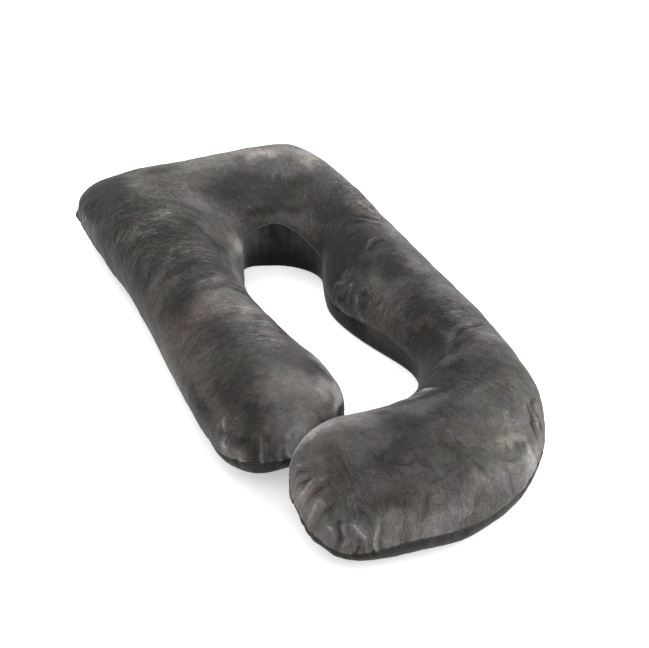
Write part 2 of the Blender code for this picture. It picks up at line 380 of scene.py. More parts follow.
START, END, BOW, SPREAD, DEPTH = slice(0, 2), slice(2, 4), 4, 5, 6
CREASES = np.array([
    # start x and y, end x and y, bow, spread, depth: a crease presses in, or stands up where it is below 0
    (-342, -312, -328, -338,  2, 3.2, -1.6),  # tip of the straight limb
    (-336, -304, -320, -330, -2, 3.5,  1.6),
    (-322, -298, -330, -320,  1,   3, -1.2),
    (-331, -345, -300, -373,  2, 3.2, -2.4),
    (-327, -335, -294, -362,  3, 3.6,  1.4),
    (-289, -392, -287, -374,  2, 3.6,  1.2),
    (-281, -392, -278, -376,  1, 3.2, -1.4),
    (-274, -394, -271, -378, -1, 3.4,  1.2),
    (-267, -394, -264, -380,  1,   3, -1.4),
    (-240, -402, -234, -378, -2,   4,  1.4),
    (-205, -406, -208, -384,  2,   4,    1),
    (-175, -406, -182, -386,  2,   4,  0.8),
    (-254, -485, -238, -512,  2, 3.5,   -2),  # tip of the curled limb
    (-262, -503, -232, -530,  3, 4.2,  2.6),
    (-270, -521, -238, -538,  2, 3.4,  2.2),
    (-269, -537, -234, -552,  3, 3.2, -2.6),
    (-270, -556, -226, -574, -4, 4.5,  3.2),
    (-267, -584, -244, -594,  3, 3.4, -2.6),
    (-264, -601, -232, -606, -2, 3.8,    2),
    (-256, -617, -243, -634,  2, 3.2,   -2),
    (-256, -640, -226, -632, -4, 3.4,  1.8),
    (-238, -656, -222, -642,  6, 3.4,   -3),
    (-222, -643, -196, -676,  6, 3.4,   -3),
    (-224, -674, -212, -656, -2, 3.8,  2.4),
    (-212, -636, -186, -668,  6, 3.4,  1.5),
    (-184, -684, -177, -666, -2, 3.4,   -2),
    (-168, -690, -160, -662,  3,   4,  1.8),
    (-130, -697, -120, -668,  3, 4.5,  1.4),
    (-100, -700,  -60, -662,  4, 5.5,    2),  # outer edge of the foot
    ( -20, -705,   55, -680, -4, 5.5,  1.8),
    ( 130, -700,  112, -640,  3,   5,  1.4),
    (  45, -629,   66, -653, -3, 3.2,  1.8),
    ( 158, -632,  105, -640, -3, 3.2,  1.4),
    ( 143, -596,  120, -630,  2, 3.2,  1.2),
    ( 184, -604,  168, -630,  3, 4.2,    2),
    ( 225, -640,  195, -590,  4, 4.5,  1.4),
    ( 247, -514,  213, -594,  3, 3.6,  4.4),
    ( 258, -518,  230, -582,  2, 3.4,   -2),
    ( 271, -502,  248, -568, -6, 3.6,  4.6),
    ( 228, -567,  262, -554,  1,   3,    1),
    (-340,  630, -305,  605,  4, 4.5,  1.2),  # left corner of the head
    (-345,  600, -318,  580, -3,   4,  1.6),
    (-345,  575, -315,  560,  3,   4,  1.2),
    (-335,  520, -290,  470,  4, 4.5,  0.8),
    (-310,  305, -155,  352, 24,   8,  1.6),  # stretched round the head hole, left
    (-155,  352, -130,  170, 22,   8,  1.4),
    (-310,  105, -165,  245, 14,   8,  1.6),
    (-205,  470,  -83,  225, 45, 7.5,  1.4),
    (-235,  440,  -98,  205, 50,   5,    1),
    (-265,  405, -120,  190, 50,   5,  0.8),
    (-315,  395, -200,  500, 12, 5.5,  1.2),
    (-320,  345, -235,  430, 10,   5,    1),
    (-320,  220, -245,  305,  8, 5.5,  1.2),
    (-320,  165, -250,  250,  8,   5,    1),
    (-310,   30, -105,   65, 18,  12,  1.4),  # neck of the straight limb
    (-172,   46, -112,   36,  4,   5,  2.8),
    (-150,   78, -100,   62,  4,   5,    2),
    (-175,  -95, -120, -125,  6,   6,  1.6),
    (-190, -120, -130, -150, -5,   5,  1.4),
    ( 287,  360,  306,  255,  3, 3.4,  2.2),  # fan on the outer edge of the long limb
    ( 281,  350,  308,  240,  2, 3.2, -1.8),
    ( 280,  315,  306,  230,  3, 3.4,  2.4),
    ( 268,  298,  306,  218, -2, 3.2, -1.8),
    ( 262,  285,  308,  208,  4, 3.4,  2.4),
    ( 240,  250,  305,  202,  3, 3.2,   -2),
    ( 225,  234,  303,  192, -4, 3.6,  3.2),
    ( 222,  214,  290,  178, -3, 3.2, -1.6),
    ( 215,  205,  282,  166,  3, 3.6,  1.8),
    ( 236,  184,  278,  180,  2, 3.2, -1.4),
    ( 176,  144,  222,  161,  2, 3.6,  1.8),
    ( 190,   91,  242,  120,  2,   3, -2.4),
    ( 196,   83,  248,  110,  2,   3,  2.2),
    ( 236,   50,  258,   40,  3,   3, -1.8),
    ( 260,   38,  266,   10,  4,   3, -1.8),
    ( 222,   20,  236,  -14,  3, 3.4,  1.8),
    ( 188, -299,  294, -274,  4, 4.6,  3.6),  # fold across the long limb
    ( 205, -268,  290, -235,  6,   6,  1.2),
    ( 118, -340,  152, -330,  2, 3.4, -1.8),
    ( 118, -352,  186, -318,  6,   5,  1.2),  # inner corner of the foot
    ( 110, -380,  182, -360, -5,   5,  1.2),
    (  68, -387,   98, -410,  2, 3.4, -2.4),
    (  52, -400,  112, -416,  4, 4.2,  1.6),
    ( 158,  100,  120,   56,  4, 3.2, -1.4),  # neck of the long limb
    ( 122,   50,   98,   70, -6,   3, -2.4),
    ( 114,   42,  108,    8, 10,   3, -2.6),
    ( 105,   48,  113,   22, -2, 3.4,  2.4),
    ( 101,   42,  113,  -18, -2, 2.8, -2.2),
    ( 123,    2,  121,  -22,  1, 2.8, -2.4),
    ( 119,  -24,  124,  -50,  1, 2.8, -2.4),
    ( 131,    2,  134,  -42,  3, 3.4,    2),
    ( 146,  -10,  138,  -60, -3,   3, -1.2),
    ( 128,  -50,  165,  -85,  5, 4.5,  1.2),
]) * MM
CREASE_WANDER, WANDER_SIZE, WANDER_SEEDS = 0.0025, 0.05, (31, 32)
END_FADE = 0.7
# the ridge beside a trough: how far away and how broad in spreads of the crease, and its share of the depth
RIDGE_AWAY, RIDGE_SPREAD, RIDGE_SHARE = 2.2, 1.3, 0.45
# how far down from the seam a crease fades out
BELOW_SEAM = 0.010

PUCKERS = (
    # spacing, depth, how far it reaches from the seam, and seed
    (0.050, 0.0018, 0.026, 21),
    (0.028, 0.0015, 0.018, 22),
    (0.016, 0.0010, 0.011, 23),
)
PUCKER_LEAN, LEAN_LENGTH, LEAN_SEED = 0.4, 0.30, 24
PUCKER_WIDTH, PUCKER_LIFT = 0.6, 0.35
EVEN_PUCKER = 0.10
GATHERS = np.array([
    # x and y on the seam, reach, strength
    (-320, -360,  60,  0.8),  # tip of the straight limb
    (-240, -400,  50,  0.8),
    (-110, -370,  60,  0.5),
    (-265, -490,  60,  0.8),  # tip of the curled limb
    (-270, -590,  60,  0.9),
    (-210, -680,  50,  0.9),
    (-110, -700,  70,  0.5),
    (  80, -700,  90,  0.3),  # outer bend of the foot
    ( 220, -650,  70,  0.6),
    ( 310, -540,  80,  0.6),
    (-345,  600,  45,  0.9),  # corners of the head
    (-340,  510,  80,  0.5),
    (-335,  350,  90, 0.35),
    (-350, -150, 120,  0.4),
    (-290,  670,  60,  0.2),
    ( 280,  650,  90,  0.2),
    ( 100,   50,  70,  0.8),  # necks and the foot's inner corner
    (-100,   50,  60,  0.5),
    ( 110, -370,  50,  0.4),
]) * ([MM] * 3 + [1])
# at the left corner of the head the seam stands out as a small ear
EAR = np.array([-0.325, 0.658])
EAR_REACH, EAR_LENGTH, EAR_WIDTH = 0.018, 0.012, 0.006
SEARCH_BLOCKS = 24


def uneven(points, size, seed, waves=32):
    """A smooth random field of about unit height: a sum of waves in random directions, about size long."""
    draw = np.random.default_rng(seed)
    heading = draw.normal(size=(waves, 3))
    heading /= np.linalg.norm(heading, axis=1, keepdims=True) * size * draw.uniform(0.7, 1.5, (waves, 1))
    turns = points @ heading.T * 2 * np.pi + draw.uniform(0, 2 * np.pi, waves)
    return np.cos(turns).sum(axis=-1) * np.sqrt(2 / waves)


def ripple(travelled, length, size, seed, waves=14):
    """A random wave that closes on itself round the seam: whole numbers of waves, each about size long."""
    draw = np.random.default_rng(seed)
    count = np.rint(length / (size * draw.uniform(0.6, 1.6, waves)))
    turns = np.multiply.outer(travelled / length, count) * 2 * np.pi + draw.uniform(0, 2 * np.pi, waves)
    return np.cos(turns).sum(axis=-1) * np.sqrt(2 / waves)


def along_seam(grid):
    """The grid's points on the seam as one closed run: along the outer side and back along the inner one."""
    return np.concatenate([grid[:, 0], grid[-2:0:-1, fine.over]])


def nearest_on_seam(points, seam):
    """The place on the seam nearest to each point: how far along it is, how far off, and its number.

    The seam's whole length comes last.
    """
    ahead = np.roll(seam, -1, axis=0) - seam
    step = np.linalg.norm(ahead, axis=1)
    travelled = np.cumsum(step) - step
    flat = points.reshape(-1, 3)
    along, away, nearest = np.empty(len(flat)), np.empty(len(flat)), np.empty(len(flat), dtype=int)
    for part in np.array_split(np.arange(len(flat)), SEARCH_BLOCKS):
        block = flat[part]
        squared = (seam ** 2).sum(axis=1) - 2 * block @ seam.T
        near = squared.argmin(axis=1)
        offset = block - seam[near]
        beyond = (offset * ahead[near]).sum(axis=1) / step[near]
        along[part] = travelled[near] + beyond
        away[part] = np.sqrt(np.maximum((offset ** 2).sum(axis=1) - beyond ** 2, 0))
        nearest[part] = near
    where = points.shape[:-1]
    return along.reshape(where), away.reshape(where), nearest.reshape(where), step.sum()


def beside_crease(crease):
    """How far every point lies to the left of one bowed crease, and a share that fades out at its ends.

    The bow is a parabola. The share is sin(pi x how far along) to the power END_FADE.
    """
    line = crease[END] - crease[START]
    length = np.hypot(*line)
    left = np.array([-line[1], line[0]]) / length
    offset = crease_plan - crease[START]
    share = offset @ line / length ** 2
    aside = offset @ left - 4 * crease[BOW] * share * (1 - share)
    return aside, np.sin(np.pi * np.clip(share, 0, 1)) ** END_FADE


def crease_depth():
    """How far the creases press in: a trough along each bowed line with a low ridge on its left."""
    depth = np.zeros(crease_plan.shape[:2])
    for crease in CREASES:
        aside, fade = beside_crease(crease)
        trough = np.exp(-0.5 * (aside / crease[SPREAD]) ** 2)
        ridge = np.exp(-0.5 * ((aside / crease[SPREAD] - RIDGE_AWAY) / RIDGE_SPREAD) ** 2)
        depth += crease[DEPTH] * fade * (trough - RIDGE_SHARE * ridge)
    return depth


def pucker_depth(along, away, strength, length):
    """How far the puckers press in: troughs across the seam at each level of spacing, fading off from it."""
    lean = PUCKER_LEAN * ripple(along, length, LEAN_LENGTH, LEAN_SEED)
    depth = np.zeros(along.shape)
    for spacing, deep, reach, seed in PUCKERS:
        wave = ripple(along + lean * away, length, spacing, seed)
        depth += deep * (np.exp(-(wave / PUCKER_WIDTH) ** 2) - PUCKER_LIFT) * np.exp(-(away / reach) ** 2)
    return depth * strength


def folded_cover():
    """The bag with its wrinkles, uneven filling, creases and puckers, flat where it rests on the floor."""
    seam = along_seam(shape)
    along, away, nearest, length = nearest_on_seam(shape, seam)
    gathered = np.full(len(seam), EVEN_PUCKER)
    for *at, reach, strength in GATHERS:
        gathered += strength * np.exp(-(np.linalg.norm(seam[:, :2] - at, axis=1) / reach) ** 2)
    above = np.where(fine.turn <= 1, 1.0, np.exp(-(away / BELOW_SEAM) ** 2))
    lifted = np.clip((rise + 1) / FREE_OF_FLOOR, 0, 1)
    dents = above * crease_depth() + pucker_depth(along, away, gathered[nearest], length)
    stand_off = settled + COVER_THICKNESS - dents - GROOVE_DEPTH * np.exp(-0.5 * (away / GROOVE_WIDTH) ** 2)
    for size, height, seed in LOFT_ROWS:
        stand_off += height * uneven(shape, size, seed)
    for *at, reach, height in FULLER:
        stand_off += height * np.exp(-(np.linalg.norm(shape[..., :2] - at, axis=-1) / reach) ** 2)
    off_ear = np.linalg.norm(seam[nearest][..., :2] - EAR, axis=-1)
    stand_off += EAR_LENGTH * np.exp(-0.5 * ((away / EAR_WIDTH) ** 2 + (off_ear / EAR_REACH) ** 2))
    folded = shape + facing * (stand_off * lifted)[..., None]
    moved = (folded - shape)[[1, -2]].mean(axis=1, keepdims=True)
    folded[[0, -1]] = shape[[0, -1]] + moved
    folded[..., 2] = np.maximum(folded[..., 2], 0)
    return folded, dents * lifted


wander = np.stack([uneven(shape, WANDER_SIZE, seed) for seed in WANDER_SEEDS], axis=-1)
crease_plan = shape[..., :2] + CREASE_WANDER * wander
cover_shape, cover_dents = folded_cover()


# --- Upper panel --------------------------------------------------------------------------------------------
# The upper panel is crushed velvet: its short pile lies in soft cloudy patches, light where it leans towards
# the light and dark where it leans away, with brown, violet and mossy tints and fine strokes across the limb.
# Painted light shares the same patches: painted highlights on the back edge, the right edge and the rims of
# the tips, painted shade down the outer sides, at the tips' edges and where they meet, and in the dents.

AT, LONG, WIDE, TURN, AMOUNTS = slice(0, 2), 2, 3, 4, slice(5, None)
PATCHES = np.array([
    # x, y, long, wide, turn in degrees, light
    (-285,  595,  85,  55,  85, -0.95),  # head, left
    (-275,  655,  75,  35,   0,  -1.1),
    # painted shade down the outer side of the straight limb's neck and the head, which faces away from the
    # light
    (-330,  320, 260,  35,  88, -0.36),
    (-225,  280, 280, 105,  85, -0.27),
    (-255,  450,  70,  35,  60, -0.18),
    (-210,  505,  55,  16,  40,   0.2),
    (-200,  560,  60,  16,  20,   0.2),
    (-185,  392,  50,  18,  50,  0.28),
    (-110,  510,  45,  35,  20,  0.16),
    (-130,  605,  60,  25,   0, -0.35),
    (-120,  440,  50,  20, 110,  0.05),
    ( -55,  405,  50,  25, 110,   0.1),
    ( -62,  262,  60,  10,  60,   0.3),
    ( -45,  300,  35,  22,  60,  0.62),
    (-255,  215,  35,  28,  60, -0.25),
    (-235,  160,  30,  18,  20, -0.28),
    (-145,  325,  35,  28,  40, -0.25),
    (-235,  310,  50,  26,  80,  -0.2),
    (  20,  470,  85,  50,   5, -0.55),  # head, middle
    (  60,  390, 100,  40, -20, -0.35),
    ( 155,  425,  70,  35,   0, -0.38),
    ( 130,  470,  30,  18,   0,   0.1),
    (  80,  530,  90,  25,  15,  -0.1),
    # painted highlight: this row, the next and those at (60, 630) and (190, 605) paint the light band along
    # the head's back edge, lit from behind
    (   0,  600, 110,  30,   0,  0.25),
    ( 148,  572,  50,  30,   0,  0.58),
    (  90,  578,  22,  20,   0, -0.25),
    (  60,  350,  70,  18, -15,  -0.4),
    (  60,  630,  50,  22,   0,   0.2),
    ( 150,  315,  45,  30, -50, -0.15),  # head, right
    ( 205,  280, 100,  45,  95,  -0.5),
    ( 160,  210,  60,  25,  80, -0.25),
    ( 265,  450,  80,  30, 100, -0.12),
    ( 190,  605, 110,  35, -20,  0.38),
    ( 255,  520,  60,  32,  70,   0.6),
    ( 255,  345,  30,  22,  90, -0.25),
    ( 220,  235,  50,  22,  90, -0.25),
    # painted highlight: this row and those at (285, 40), (275, -130), (300, -150), (300, 268) and (300, 455)
    # paint the lit right edge of the long limb
    ( 295,  160,  60,  20,  93,   0.3),
    ( 150,  145,  70,  50,  50, -0.75),  # long limb
    ( 120,  150,  62,  18,  75,  -1.3),
    ( 215,  130,  60,  40,  20, -0.36),
    ( 125,   78,  35,  16,   0, -0.45),
    ( 165,   45,  30,  26,  80,  -0.4),
    ( 230,   10,  80,  40, 100, -0.42),
    ( 150,  -30,  60,  22, 100, -0.05),
    ( 175,  -10,  20,  15, 100,   0.2),
    ( 285,   40, 130,  28,  93,  0.18),
    ( 265,  -30,  30,  20,  93,   0.2),
    ( 220, -145,  60,  40, 100,  -0.5),
    ( 170, -235,  70,  26,  95, -0.45),
    ( 225, -255,  65,  20, 100, -0.45),
    ( 275, -130,  80,  25,  95,  0.18),
    ( 270, -290,  60,  30,  10,  0.14),
    ( 140, -334,  30,   9,  15,  0.35),
    ( 200, -320,  35,  16,  12, -0.45),
    ( 100, -472,  95,  18,  22, -0.26),
    ( 135, -310,  90,  24,  65, -0.95),
    ( 140, -400,  80,  35,  15,  -0.5),
    (  40, -425,  60,  12,  -3,  -0.5),
    ( 240, -420,  60,  26,  20, -0.15),
    (  82, -400,  24,   7, -38,   0.9),
    ( 150, -500,  80,  40,   0,  0.02),  # foot and curl
    (   5, -465,  45,  20, -10,   0.2),
    (-110, -437,  80,  26,   5,  0.45),
    (-205, -415,  65,  30,  10,     1),
    ( -30, -510,  50,  35,  60,  -0.4),
    (  50, -520,  60,  25,  20, -0.25),
    (-100, -575,  70,  30,  10,  -0.3),
    ( -20, -570,  40,  30,   0,  -0.1),
    (  70, -595,  60,  30,   0,  0.08),
    ( 185, -570,  80,  38,  45,  0.34),
    ( 250, -500,  60,  30,  70,  0.22),
    ( 110, -660,  80,  24,  15,  0.34),
    ( 200, -630,  55,  20,  42,  0.36),
    ( -40, -675,  80,  20,   0,  0.15),
    (-100, -602,  34,  18,   0, -0.16),
    (  20, -600,  22,  30,   0, -0.25),
    (-160, -620,  45,  18,   0,  0.05),
    (-130, -655,  60,  20, -10,  -0.2),
    (-195, -545,  60,  35,  70, -0.24),
    (-262, -530,  50,  12,  80,  0.35),
    (-140,  180,  80,  40,  80, -0.15),  # straight limb
    (-105,  150,  70,  12,  75,  0.35),
    (-250,   85,  55,  28,  20, -0.42),
    (-290,   20,  80,  30,  85, -0.22),
    (-195,   90,  40,  20,  20,  0.45),
    (-210,   15,  60,  36,  10,  0.36),
    (-150,  -15,  30,  22,  80,   0.2),
    (-165,  -40,  45,  28,  60,  0.32),
    (-250,  -85,  60,  40,  30,  -0.3),
    (-135, -130,  50,  35,  80,   0.3),
    (-260, -225,  90,  45,  80, -0.32),
    ( -95, -245,  35,  22,  10, -0.22),
    # painted highlight: this row and those at (-66, -302), (-89, -328), (-77, -305) and (-66, -255) paint the
    # lit inner rim of the straight limb and its tip
    ( -74, -190,  45,  18, 100,   0.7),
    (-108,  -60,  90,  14,  95, -0.45),
    ( -66, -302,  18, 4.5,  68,   0.6),
    ( -89, -328,  26, 4.5,  48,   0.7),
    ( -77, -305,  32,  10,  62,  0.75),
    # painted shade along the straight limb's outer side, which faces away from the light
    (-350, -200,  90,  14,  88, -0.45),
    (-215, -260,  50,  30,  20,  0.18),
    (-145, -310,  80,  45,   0,  0.42),
    ( -66, -255,  30,   8,  95,   0.4),
    (-100, -290,  32,  22,  60,  0.38),
    (-305, -250,  35,  28,  80, -0.38),
    (-265, -330,  60,  40,  70, -0.35),
    (-170, -375,  70,  24, -10,   0.3),
    # painted highlights and shade: bright specks on the gathers at the straight limb's tip, with dark beside
    # them, down to (-289, -376)
    (-330, -316,  18,   4,  60,  0.34),
    (-316, -362,  24,   4, -49, -0.35),
    (-333, -327,  24, 4.5, -62,  0.12),
    (-317, -353,  18, 3.2, -49,  0.55),
    (-277, -376,   9,   4,  67,  0.45),
    (-269, -382,   8,   4,  80,   0.3),
    (-289, -376,   9,   5, -40, -0.35),
    # painted highlights and shade: bright specks on the gathers at the ear, with dark beside them, down to
    # (-333, 520)
    (-336,  592,   9, 4.5,  60,   1.1),
    (-334,  572,   8, 4.5, 110,   0.8),
    (-328,  600,  30,   5,  85,  -0.5),
    (-337,  556,  10,   4,  85,   0.6),
    (-333,  520,  35,   5,  88,  0.35),
    # painted shade: this row and the next paint the dark edge beyond the tip's lit rim, and the row after
    # them the shade where the tip meets the curl
    ( -58, -310,  24, 4.5,  66,  -1.4),
    ( -83, -336,  28,   4,  50,  -1.4),
    (-115, -385,  40,   8, -35,  -0.6),
    (-120,   30,  35,  14,  85, -0.35),
    ( -85, -250,  22,  12, 100, -0.25),
    (-205, -443,  34,  18,  10, -0.36),
    # painted shade at the edge of the foot's inner corner
    ( 112, -328,  55,  14,  60,  -1.2),
    (-265,  470,  40,  30,  40,  -0.2),
    (-245,  580,  60,  25,  85,  -0.3),
    ( 240, -270,  22,  22,   0,  0.25),
    ( 275, -325,  40,  18,   0,  0.22),
    ( 300,  455,  60,  18,  95,  0.25),
    ( -80,  430,  40,  40,   0,   0.3),
    ( -20,  370,  40,  20,   0,   0.2),
    (-195,  275,  22,  20,   0, -0.25),
    (-265,  290,  35,  50,   0, -0.12),
    ( 100,  385,  35,  25,   0,  -0.2),
    ( 275,  420,  30,  35,   0,  0.12),
    ( -20,  570,  80,  18,   0,  0.14),
    ( 190, -190,  20,  30,   0,  0.15),
    ( 300, -150,  50,  12,  90,  0.15),
    ( 250, -312,  40,  18,   0,  0.15),
    ( 140, -560,  50,  20,   0,   0.2),
    ( 210, -495,  50,  20,   0, -0.12),
    (-220,  345,  30,  20,   0,  0.15),
    (-333,  632,  12,   6,  80,  -0.9),
    # painted shade on the long limb's right edge above the foot
    ( 318, -265,  55,  10,  95,  -0.4),
    ( 300,  268,  45,  18, 100,  0.38),
    (-270,  682,  80,  18,   0,  -0.9),
    (-175,  610,  28,  22,   0,   0.3),
    (-195,  -70,  30,  30,   0,  0.18),
    ( -50, -450,  16,  12,   0, -0.35),
    (-100, -468,  40,  20,   0,  0.28),
    (-165, -668,  50,  14, -10,  0.35),
    (-250, -590,  70,  22,  70,  0.22),
    ( 145, -605,  55,  16,  10,  0.32),
    ( 188, -627,  20,  14,  30,  0.25),
    (  45, -660,  22,  14, -40,   0.2),
    (  45, -402,  30,   8,   0,   0.5),
    ( 255, -560,  45,  18,  60,  0.15),
    ( 263,  594,  22,  30,  60,   0.3),
    (-250, -555,  30,  18,  80,  0.14),
    ( -50, -697,  90,  10,   0,  0.35),
    (-240, -605,  16,  14,   0, -0.12),
    (-235, -550,  25,  20,   0,  -0.2),
    ( 174, -619,  14,  12,   0, -0.25),
    (  10, -535,  40,  16,  30,  0.12),
    (-170, -520,  80,  24,  95,  0.15),
    (-195,   45,  40,  16,   0,  0.15),
]) * ([MM] * 4 + [1] * 2)
TINTS = np.array([
    # x, y, long, wide, turn in degrees, warm, moss
    (-240,  480, 180, 100,  60,  0.05, 0.42),  # head, left
    (-240,  300, 120,  80,  80,  0.05, 0.32),
    (-150,  625,  50,  30,   0,  -0.2,  0.6),
    (-110,  520,  45,  40,   0,   0.8,    0),
    (-180,  380,  30,  35,   0,   0.5,    0),
    (-110,  260, 140,  30,  70,  -0.6,    0),
    ( -70,  300,  60,  20,  60,   0.3,  0.7),
    ( -30,  585,  70,  50,   0,   0.1,  0.7),
    (  30,  450, 110,  70,  80,  -0.6,    0),  # head, middle and right
    ( 130,  600,  40,  30,   0,   0.1,  0.9),
    ( 220,  570,  60,  40,   0,   0.3,  0.2),
    ( 255,  510,  50,  30,   0,   0.1,  0.8),
    ( 155,  330,  50,  35,   0,   0.6,    0),
    ( 170,  430,  40,  30,   0,   0.5,    0),
    ( 170,  200,  70,  35,  80,   0.6,  0.2),
    ( 260,  400,  80,  50,  90,  -0.5,    0),
    ( 140,  110,  70,  60,  60, -0.45,    0),  # long limb
    ( 200,   60,  50,  30,  90,     0,  0.4),
    ( 145,  -40,  70,  30, 100,  0.35,    0),
    ( 195, -230,  60,  30,  90,  0.55,  0.1),
    ( 280, -150, 220,  45,  92, -0.95,    0),
    ( 150, -400, 120,  80,  10, -0.45,    0),  # foot and curl
    (  20, -470, 110,  60,   0,  -0.5,    0),
    ( 275, -460,  90,  40,  75,   0.1,  0.8),
    ( 140, -590, 110,  45,  30,  0.15,  0.2),
    (   0, -600,  60,  40,   0,  -0.1,  0.5),
    (-120, -440,  50,  40,   0,   0.5,    0),
    (-230, -540,  80,  60,  70,  0.35,    0),
    ( -60, -680, 110,  20,   0,  0.25,  0.1),
    (-160,  120,  90,  60,  70, -0.55,    0),  # straight limb
    (-315,    0, 180,  45,  88,  0.85,    0),
    (-220,    0,  60,  60,   0,  0.35,    0),
    (-150, -170,  90,  45,  90,  -0.6,    0),
    (-260, -200,  50,  40,  90,     0,  0.5),
    (-200, -320, 130,  60,   0,  0.15,    0),
    (-320, -250,  50,  30,  80,   0.6,    0),
]) * ([MM] * 4 + [1] * 3)
DRIFTS = (
    # amount and size of each random shift of the patches, and how far its seeds are from the first
    (0.007, 0.090, 0),
    (0.003, 0.022, 2),
)
DRIFT_SEEDS, DRIFTS_IN_FULL = (41, 42), 0.030
OVAL_SHARPNESS = 1.3
# painted shade: how much darker the colour is painted for each metre of dent, and lighter where a ridge
# stands up
DENT_SHADE = 110.0
# light and dark past these limits are eased off
FULL_LIGHT, LIGHT_EASE = 0.45, 0.40
FULL_DARK, DARK_EASE = -0.39, -0.11
# painted shade and highlight of the creases: the crisp dark line in a crease, and the light line beside it:
# how many widths away, and how strong
CRISP_REACH, CRISP_DEPTH, CRISP_WIDTH, CRISP_TEAR = 0.005, 0.0024, 0.0021, 0.006
LIGHT_LINE_AWAY, LIGHT_LINE_SHARE = 1.3, 0.65
# the strokes' share anywhere, how far from a tip they start, and where round the section their bow ends
LINED = 0.5
STROKES_FADE, STROKES_ROUND = 0.05, 0.22
CRUSHED = np.array([
    # x, y, long, wide, turn in degrees, crushed, lined
    ( -30, -610, 220,  80,   5,  0.8, -0.35),  # the curl's front and the bend of the foot
    ( 210, -560, 120,  70,  50, 0.25,  -0.2),
    (-100, -470, 150,  60,   0,  0.6,  -0.4),
    (-150,  500, 120,  70,  10,  0.9,   0.5),  # the head's left part
    (-240,  400, 100,  80,  60,  0.6,   0.6),
    (-200,  230, 110, 110,  60,  0.2,   0.6),
    ( 130,  -10,  60,  35,  90,  0.9,     0),  # the long limb's neck
    ( 220,  160,  70,  50,  40,  0.8, -0.05),
    ( 280,  300, 110,  40, 100,  0.2,   0.6),
    ( 260, -250, 120,  50, 100,  0.2,   0.4),
    (-240, -300, 100,  60,  60, 0.35,     0),  # the straight limb's tip
    (-190, -290, 120, 110,   0, 0.15, -0.36),
    (-130, -120,  50,  40,  70,  0.6,   0.6),
]) * ([MM] * 4 + [1] * 3)
STROKE_BOW = np.array([
    # how far along the pillow, and how far the strokes across it bow towards its head
    (0.00, 0.000),
    (0.30, -0.020),
    (0.60, -0.080),
    (0.85, -0.110),
    (1.05, +0.000),
    (1.30, +0.080),
    (1.60, +0.050),
    (2.05, +0.030),
    (2.68, +0.000),
])


def soft_ovals(points, ovals):
    """Sums of soft oval bells in plan, each times its amounts: one sum for each column of amounts.

    A bell is exp(-(squared distance in half lengths and half widths) ^ OVAL_SHARPNESS). Random fields move
    the places about, less for a narrow oval, so that its edge is torn and feathered.
    """
    drift = np.stack([
        sum(amount * uneven(points, size, seed + later) for amount, size, later in DRIFTS)
        for seed in DRIFT_SEEDS
    ], axis=-1)
    sums = np.zeros(points.shape[:-1] + ovals[0, AMOUNTS].shape)
    for oval in ovals:
        turn = np.radians(oval[TURN])
        offset = points[..., :2] + drift * min(1, oval[WIDE] / DRIFTS_IN_FULL) - oval[AT]
        ahead = offset @ np.array([np.cos(turn), np.sin(turn)])
        aside = offset @ np.array([-np.sin(turn), np.cos(turn)])
        squared = (ahead / oval[LONG]) ** 2 + (aside / oval[WIDE]) ** 2
        sums += np.exp(-squared ** OVAL_SHARPNESS)[..., None] * oval[AMOUNTS]
    return sums


def eased(values, limit, ease):
    """Values past the limit eased off, so that they go beyond it by less than the ease, up or down."""
    past = (values - limit) / ease
    return np.where(past > 0, limit + ease * np.tanh(past), values)


def keep_on_points(piece, name, values):
    """A named attribute with one number for each point of the piece."""
    attribute = piece.data.attributes.new(name, "FLOAT", "POINT")
    attribute.data.foreach_set("value", values.astype(np.float32))


def lay_flat(piece, grid, columns):
    """A UV map in metres of cloth: how far along the pillow, and how far round the section from its middle.

    Across the middle the lines of equal distance along bow towards the head.
    """
    step = np.linalg.norm(np.diff(grid[:, columns], axis=1, prepend=grid[:, columns[:1]]), axis=2)
    around = np.cumsum(step, axis=1)
    around -= around[:, -1:] / 2
    bow = np.interp(place, *STROKE_BOW.T)[:, None]
    along = place[:, None] + bow * (1 - (around / STROKES_ROUND) ** 2)
    wide = np.zeros(grid.shape[:2] + (2,))
    wide[:, columns] = np.stack([along, around], axis=-1)
    corners = np.empty(len(piece.data.loops), dtype=np.int32)
    piece.data.loops.foreach_get("vertex_index", corners)
    flat = piece.data.uv_layers.new(name="cloth")
    flat.data.foreach_set("uv", on_points(wide, columns)[corners].ravel().astype(np.float32))


def add(tree, kind, inputs=(), **settings):
    """A shader node with its settings, and each input either linked or given its value."""
    node = tree.nodes.new("ShaderNode" + kind)
    for name, value in settings.items():
        setattr(node, name, value)
    for name, value in dict(inputs).items():
        if isinstance(value, bpy.types.NodeSocket):
            tree.links.new(value, node.inputs[name])
        else:
            node.inputs[name].default_value = value
    return node


def mark(tree, name):
    """The named attribute of the piece's points."""
    return add(tree, "Attribute", attribute_name=name).outputs["Fac"]


def clouds(tree, where, scale, detail, roughness=0.5, distortion=0.0):
    """Soft random clouds from 0 to 1, mostly near 0.5."""
    inputs = {
        "Vector": where, "Scale": scale, "Detail": detail, "Roughness": roughness, "Distortion": distortion,
    }
    return add(tree, "TexNoise", inputs).outputs[0]


def stretched_clouds(tree, where, scale, detail, roughness, distortion):
    """Clouds with their own scale on each axis."""
    stretched = add(tree, "Mapping", {"Vector": where, "Scale": scale}).outputs[0]
    return clouds(tree, stretched, 1.0, detail, roughness, distortion)


def compute(tree, operation, *values, **settings):
    """The result of one operation on the values, in their order."""
    return add(tree, "Math", enumerate(values), operation=operation, **settings).outputs[0]


def times(tree, first, second):
    """The product of two values."""
    return compute(tree, "MULTIPLY", first, second)


def centred(tree, value):
    """The value less a half, so that clouds go both ways."""
    return compute(tree, "ADD", value, -0.5)


